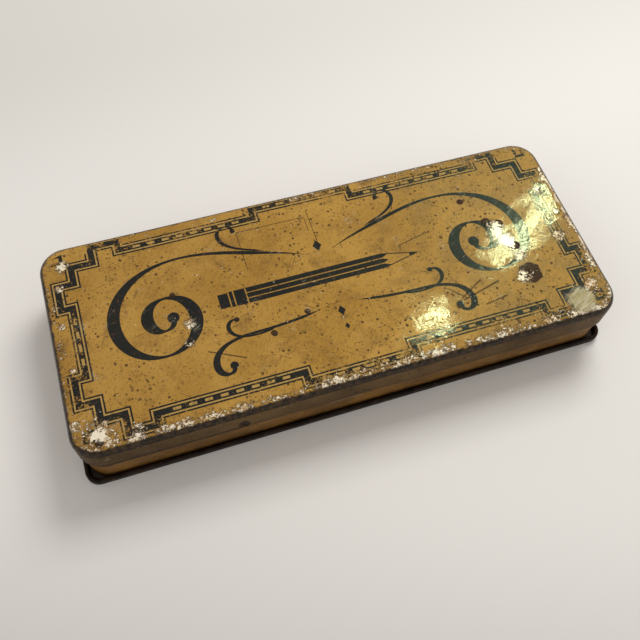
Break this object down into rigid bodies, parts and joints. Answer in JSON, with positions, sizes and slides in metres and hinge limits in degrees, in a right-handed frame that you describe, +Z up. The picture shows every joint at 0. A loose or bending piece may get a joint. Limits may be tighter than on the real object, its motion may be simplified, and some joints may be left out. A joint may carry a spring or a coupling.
{
  "type": "pencil case",
  "caption": "Flat rectangular tinplate pencil box with rounded corners, a deep-skirted lid hinged along its back edge and a rolled bottom seam.",
  "frame": {"origin": "middle of the bottom, on the surface the box stands on", "axes": "+X along the length of the box, -Y towards the user (the front, away from the hinges), +Z up out of the lid"},
  "size_m": [0.2042, 0.0852, 0.0267],
  "materials": {
    "gold_litho": "worn satin litho print on tinplate",
    "wall_litho": "dull brown-gold litho on tinplate",
    "dark_tin": "dark tarnished tinplate, rubbed",
    "hinge_steel": "tarnished tinned steel",
    "pin_wire": "drawn steel wire, tarnished",
    "rivet_steel": "tarnished steel"
  },
  "bodies": {
    "base": {"body_wall": "wall_litho", "bottom_plate": "dark_tin", "body_hinge_leaf_left": "hinge_steel", "body_hinge_leaf_right": "hinge_steel", "hinge_pin_left": "pin_wire", "hinge_pin_right": "pin_wire", "body_hinge_rivets": "rivet_steel"},
    "lid": {"lid_shell": "gold_litho", "lid_hinge_leaf_left": "hinge_steel", "lid_hinge_leaf_right": "hinge_steel", "lid_hinge_rivets": "rivet_steel"}
  },
  "joints": [
    {"name": "lid_hinge", "type": "hinge", "parent": "base", "child": "lid", "pos_m": [0, 0.04187, 0.014], "axis": [-1, 0, 0], "range_deg": [0, 170]}
  ]
}
